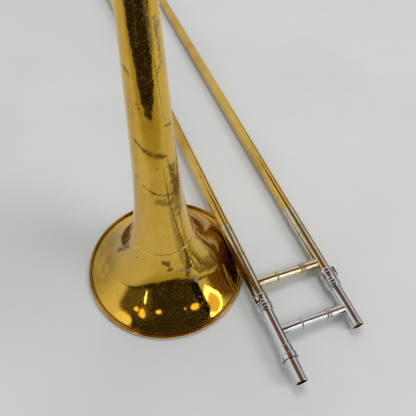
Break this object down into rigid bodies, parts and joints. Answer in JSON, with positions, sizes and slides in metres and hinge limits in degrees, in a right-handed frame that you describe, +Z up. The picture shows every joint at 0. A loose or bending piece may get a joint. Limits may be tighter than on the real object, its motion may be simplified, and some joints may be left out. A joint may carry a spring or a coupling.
{
  "type": "trombone",
  "caption": "Tenor slide trombone taken apart: bell section standing on its bell rim, closed handslide lying beside it with cross braces, lock ring and water key.",
  "frame": {"origin": "centre of the bell rim, on the surface the bell section stands on", "axes": "+Z up along the bell's axis, +Y along the handslide from its hand end to its bow, +X from the bell section towards the handslide"},
  "size_m": [0.2816, 0.8634, 0.6653],
  "materials": {
    "lacquered_brass": "clear gold lacquer, worn and spotted",
    "raw_brass": "bare drawn brass",
    "nickel_silver": "polished nickel silver, slightly yellowed",
    "chrome_plate": "bright chrome plate",
    "steel": "drawn steel wire",
    "cork": "natural cork",
    "rubber": "black moulded rubber"
  },
  "bodies": {
    "bell_section": {"bell_flare": "lacquered_brass", "rim_wire": "steel", "bell_stem": "lacquered_brass", "bell_tail_ferrule": "nickel_silver", "tuning_sleeve_bell": "nickel_silver", "neckpipe": "lacquered_brass", "neck_ferrule": "nickel_silver", "tuning_sleeve_neck": "nickel_silver", "bell_receiver": "nickel_silver", "main_brace_bell_flange": "nickel_silver", "main_brace_tube": "nickel_silver", "main_brace_neck_flange": "nickel_silver", "upper_brace_bell_flange": "nickel_silver", "upper_brace_tube": "nickel_silver", "upper_brace_neck_flange": "nickel_silver"},
    "tuning_slide": {"tuning_leg_bell": "nickel_silver", "tuning_leg_neck": "nickel_silver", "tuning_ferrule_bell": "nickel_silver", "tuning_ferrule_neck": "nickel_silver", "tuning_crook": "lacquered_brass", "tuning_brace_rod": "nickel_silver", "tuning_brace_feet": "nickel_silver"},
    "inner_slide": {"inner_tube_lower": "chrome_plate", "inner_tube_upper": "chrome_plate", "cork_barrel_lower": "chrome_plate", "cork_barrel_upper": "chrome_plate", "cork_bumper_lower": "cork", "cork_bumper_upper": "cork", "sleeve_tube_lower": "chrome_plate", "sleeve_tube_upper": "chrome_plate", "leadpipe": "raw_brass", "tenon": "chrome_plate", "inner_brace_lower_ferrule": "chrome_plate", "inner_brace_tube": "chrome_plate", "inner_brace_upper_ferrule": "chrome_plate", "slide_lock_stud": "chrome_plate"},
    "lock_ring": {"bell_lock_ring": "chrome_plate"},
    "outer_slide": {"outer_tube_lower": "lacquered_brass", "outer_tube_upper": "lacquered_brass", "grip_sleeve_lower": "nickel_silver", "grip_sleeve_upper": "nickel_silver", "hand_brace_lower_ferrule": "nickel_silver", "hand_brace_tube": "nickel_silver", "hand_brace_upper_ferrule": "nickel_silver", "bow_ferrule_lower": "nickel_silver", "bow_ferrule_upper": "nickel_silver", "slide_bow": "lacquered_brass", "bow_guard": "nickel_silver", "tip_holder": "nickel_silver", "rubber_tip": "rubber", "water_key_nipple": "nickel_silver", "water_key_saddle": "nickel_silver", "water_key_pin": "steel", "water_key_spring": "steel"},
    "slide_lock": {"slide_lock_ring": "chrome_plate"},
    "water_key": {"water_key_lever": "nickel_silver", "water_key_cork": "cork"}
  },
  "joints": [
    {"name": "tuning_pull", "type": "slide", "parent": "bell_section", "child": "tuning_slide", "axis": [0, 0, 1], "range_m": [0, 0.05]},
    {"name": "slide_lift", "type": "slide", "parent": "bell_section", "child": "inner_slide", "axis": [0, 0, 1], "range_m": [0, 0.25]},
    {"name": "slide_travel", "type": "slide", "parent": "inner_slide", "child": "outer_slide", "axis": [0, 1, -0.005], "range_m": [0, 0.61]},
    {"name": "lock_ring_turn", "type": "hinge", "parent": "inner_slide", "child": "lock_ring", "pos_m": [0.085, -0.165, 0.01495], "axis": [0, 1, -0.005], "continuous": true},
    {"name": "slide_lock_turn", "type": "hinge", "parent": "outer_slide", "child": "slide_lock", "pos_m": [0.17486, -0.08552, 0.00963], "axis": [0, -1, 0.005], "range_deg": [0, 33]},
    {"name": "water_key_press", "type": "hinge", "parent": "outer_slide", "child": "water_key", "pos_m": [0.08568, 0.59005, 0.02356], "axis": [0.9985, -0.0003, -0.0547], "range_deg": [0, 9], "stiffness_Nm_per_rad": 0.05, "springref_deg": -20.05}
  ]
}
